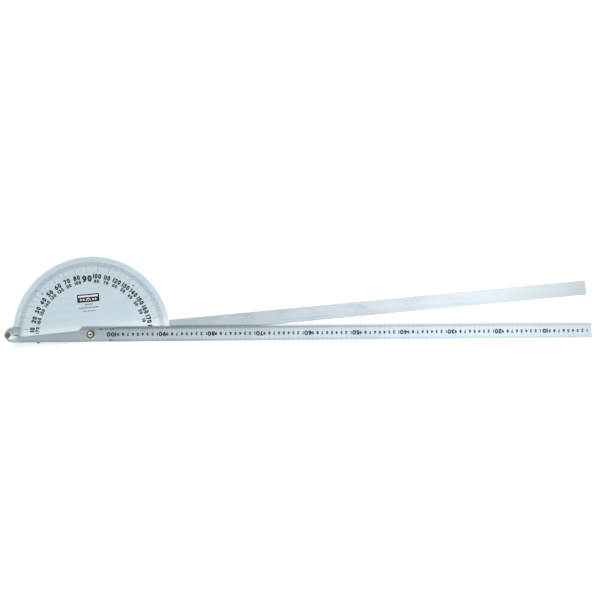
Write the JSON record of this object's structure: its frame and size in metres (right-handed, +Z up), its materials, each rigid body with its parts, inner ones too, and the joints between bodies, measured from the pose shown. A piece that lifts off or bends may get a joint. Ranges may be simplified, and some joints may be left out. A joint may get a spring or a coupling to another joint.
{
  "type": "double-arm half-round protractor",
  "caption": "Half-round steel protractor plate on a plain base beam, with a graduated rule that turns on a central stud and clamps to the plate's rim with a knurled knob.",
  "frame": {"origin": "on the pivot's axis, on the underside that lies on the drawing board", "axes": "+X along the base beam towards its free end, +Y towards the plate's 90 degree mark, +Z up from the board"},
  "size_m": [1.2162, 0.266, 0.0204],
  "materials": {
    "protractor_plate": "satin stainless, degree ring etched and inked",
    "base_beam": "brushed lengthways, plain",
    "rule_arm": "brushed lengthways, scale etched and inked",
    "rivet_steel": "plain",
    "stud_steel": "turned, slotted end",
    "hardware_steel": "plain",
    "screw_steel": "darkened",
    "nut_brass": "knurled",
    "washer_brass": "turned",
    "knob_nickel": "nickel plated, knurled"
  },
  "bodies": {
    "base": {"protractor_plate": "protractor_plate", "base_beam": "base_beam", "beam_rivet_left": "rivet_steel", "beam_rivet_right": "rivet_steel", "pivot_stud": "stud_steel", "pivot_spacer": "hardware_steel", "pivot_spring_washer": "hardware_steel"},
    "arm": {"rule_arm": "rule_arm", "pivot_washer": "washer_brass", "clamp_pad": "hardware_steel", "clamp_washer": "washer_brass"},
    "nut": {"pivot_nut": "nut_brass"},
    "knob": {"clamp_knob": "knob_nickel", "clamp_screw": "screw_steel"},
    "shoe": {"clamp_shoe": "hardware_steel"}
  },
  "joints": [
    {"name": "arm_pivot", "type": "hinge", "parent": "base", "child": "arm", "pos_m": [0, 0, 0.00625], "axis": [0, 0, -1], "range_deg": [-5, 165]},
    {"name": "pivot_nut_turn", "type": "hinge", "parent": "base", "child": "nut", "pos_m": [0, 0, 0.0105], "axis": [0, 0, 1], "range_deg": [0, 90]},
    {"name": "clamp_knob_turn", "type": "hinge", "parent": "arm", "child": "knob", "pos_m": [-0.16238, 0.01421, 0.0144], "axis": [0, 0, 1], "range_deg": [0, 270]},
    {"name": "clamp_shoe_drop", "type": "slide", "parent": "arm", "child": "shoe", "axis": [0, 0, -1], "range_m": [0, 0.0006]}
  ],
  "couplings": [
    {"joint": "clamp_shoe_drop", "follows": "clamp_knob_turn", "m_per_rad": 0.00012732}
  ]
}
